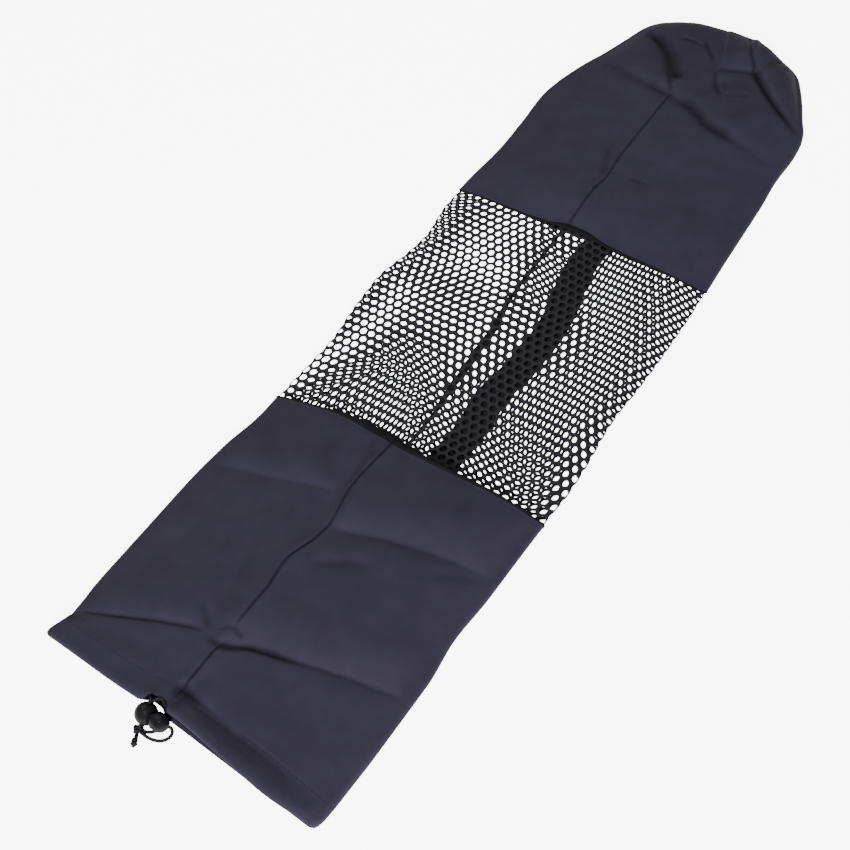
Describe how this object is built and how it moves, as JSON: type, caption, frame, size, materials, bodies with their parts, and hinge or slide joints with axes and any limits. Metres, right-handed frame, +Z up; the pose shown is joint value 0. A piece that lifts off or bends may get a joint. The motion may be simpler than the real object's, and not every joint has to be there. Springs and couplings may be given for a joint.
{
  "type": "yoga mat bag",
  "caption": "Empty drawstring yoga mat bag lying flat: nylon tube with a net band, round end panel, shoulder strap beneath and a sprung cord lock at the mouth.",
  "frame": {"origin": "under the middle of the bag, on the surface that it lies on", "axes": "+Y along the bag from its mouth to its end panel, +X across it, +Z up"},
  "size_m": [0.2505, 0.833, 0.0194],
  "materials": {
    "nylon": "woven, slight sheen",
    "net": "knitted net",
    "webbing": "woven webbing",
    "cord": "braided",
    "lock_plastic": "glossy"
  },
  "bodies": {
    "bag": {"mouth_section": "nylon", "net_section": "net", "base_section": "nylon", "base_disc": "nylon", "strap": "webbing", "drawcord": "cord", "cord_tail": "cord", "cord_knot": "cord", "cord_tip": "cord", "lock_body": "lock_plastic"},
    "plunger": {"lock_plunger": "lock_plastic"}
  },
  "joints": [
    {"name": "plunger_press", "type": "slide", "parent": "bag", "child": "plunger", "axis": [-0.9962, 0, -0.0872], "range_m": [0, 0.0025], "stiffness_N_per_m": 400, "springref_m": -0.002}
  ]
}
